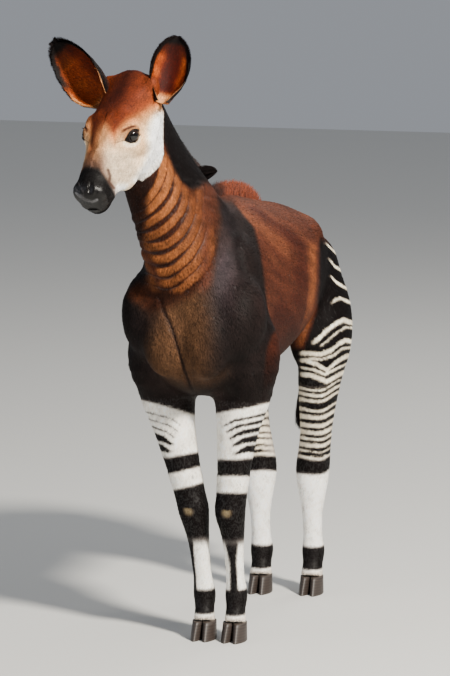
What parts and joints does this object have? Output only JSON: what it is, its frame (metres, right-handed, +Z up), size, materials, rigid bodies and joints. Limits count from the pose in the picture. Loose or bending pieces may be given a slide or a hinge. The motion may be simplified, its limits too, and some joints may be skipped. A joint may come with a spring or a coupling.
{
  "type": "juvenile okapi",
  "caption": "Life-size still model of a young okapi standing at rest, with big cupped ears, a ringed neck, striped legs and rump, cloven hooves and a hanging tail.",
  "frame": {"origin": "middle of the animal's box, on the ground", "axes": "+Z up, the animal faces -Y and its left side is +X"},
  "size_m": [0.5288, 1.455, 1.6234],
  "materials": {
    "hide_brown": "short glossy red-brown coat, matt where it turns from the light",
    "face_hide": "very short cream, brown and white coat with a black muzzle",
    "striped_hide": "short white coat with black bands",
    "ear_hide": "orange-brown inside, dark fringe round the edge",
    "eye": "wet black",
    "hoof": "dark horn"
  },
  "bodies": {
    "root": {"head": "face_hide", "neck": "hide_brown", "torso": "hide_brown", "tail": "hide_brown", "ear_left": "ear_hide", "ear_right": "ear_hide", "eye_left": "eye", "eye_right": "eye", "foreleg_left_upper": "striped_hide", "foreleg_left_lower": "striped_hide", "fore_hoof_left": "hoof", "foreleg_right_upper": "striped_hide", "foreleg_right_lower": "striped_hide", "fore_hoof_right": "hoof", "hindleg_left_upper": "striped_hide", "hindleg_left_lower": "striped_hide", "hind_hoof_left": "hoof", "hindleg_right_upper": "striped_hide", "hindleg_right_lower": "striped_hide", "hind_hoof_right": "hoof"}
  },
  "joints": []
}
